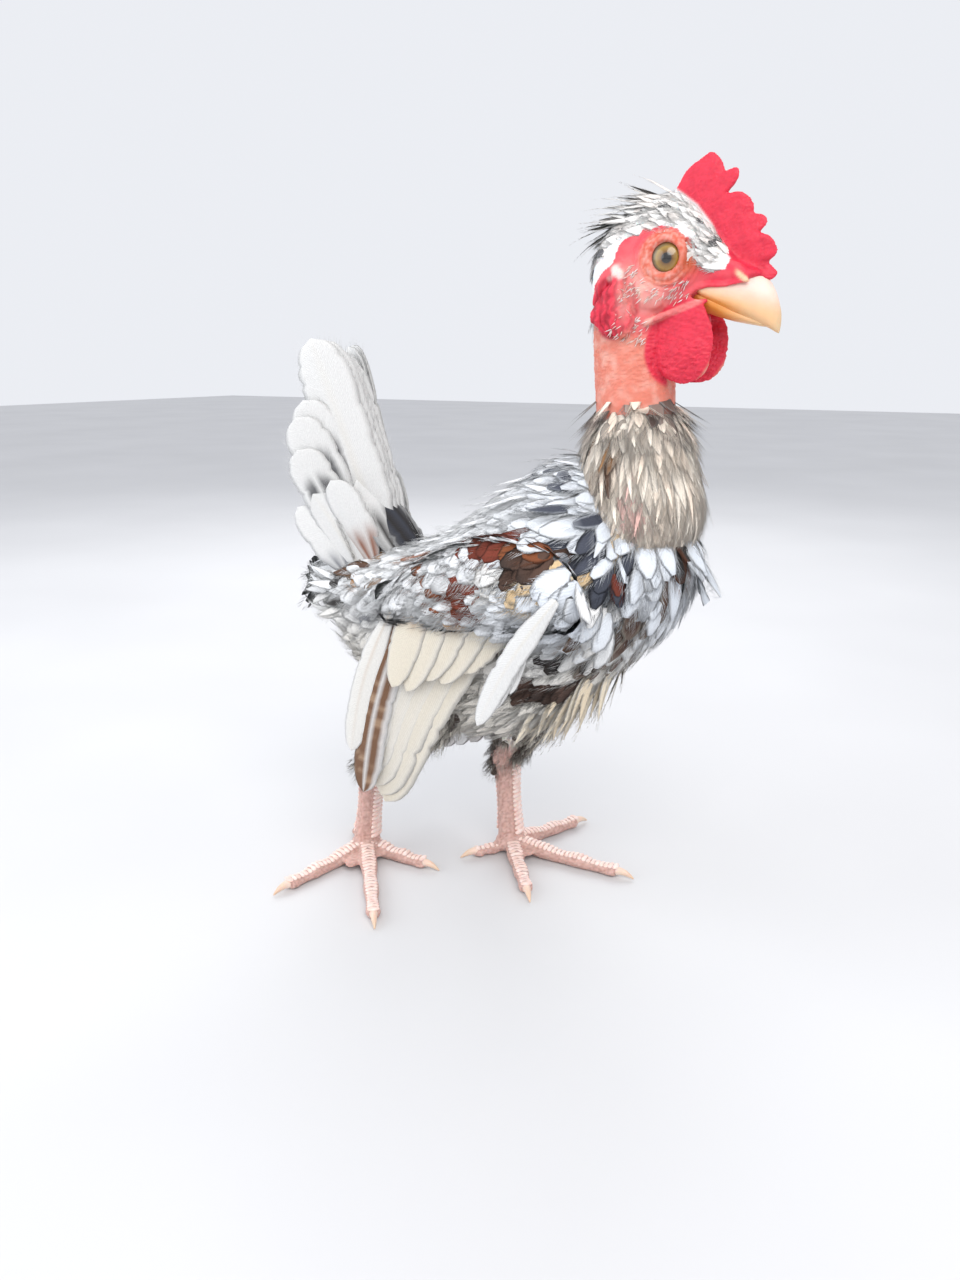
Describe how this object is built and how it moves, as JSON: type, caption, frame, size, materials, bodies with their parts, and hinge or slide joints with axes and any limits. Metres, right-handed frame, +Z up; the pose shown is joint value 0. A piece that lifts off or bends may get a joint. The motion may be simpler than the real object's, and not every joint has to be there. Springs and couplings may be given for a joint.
{
  "type": "serama chicken",
  "caption": "Life-size standing serama cockerel of the naked-neck type, with hanging wings, upright tail, red comb and spread toes.",
  "frame": {"origin": "middle of the bird's footprint on the floor: the centre of the bounding box in X and Y, at the level of the soles", "axes": "+X forward, towards the beak; +Y to the bird's left; +Z up"},
  "size_m": [0.1438, 0.0944, 0.2033],
  "materials": {
    "feather_white": "soft matt feather",
    "feather_cream": "soft matt feather",
    "feather_dark": "soft matt feather",
    "comb_skin": "bare red skin, slightly waxy",
    "face_skin": "bare red and pink skin, finely wrinkled",
    "neck_skin": "bare salmon skin",
    "leg_skin": "pale pink scaled skin",
    "horn": "pale horn",
    "eye": "wet olive-gold iris with a black pupil"
  },
  "bodies": {
    "root": {"torso": "feather_cream", "rump": "feather_cream", "neck": "neck_skin", "tail": "feather_white", "head": "face_skin", "beak_upper": "horn", "beak_lower": "horn", "comb": "comb_skin", "eye_right": "eye", "wattle_right": "comb_skin", "earlobe_right": "comb_skin", "wing_right": "feather_white", "thigh_right": "feather_dark", "shank_right": "leg_skin", "foot_right": "leg_skin", "claw_right_outer": "horn", "claw_right_middle": "horn", "claw_right_inner": "horn", "claw_right_hind": "horn", "eye_left": "eye", "wattle_left": "comb_skin", "earlobe_left": "comb_skin", "wing_left": "feather_white", "thigh_left": "feather_dark", "shank_left": "leg_skin", "foot_left": "leg_skin", "claw_left_middle": "horn", "claw_left_inner": "horn", "claw_left_outer": "horn", "claw_left_hind": "horn"}
  },
  "joints": []
}
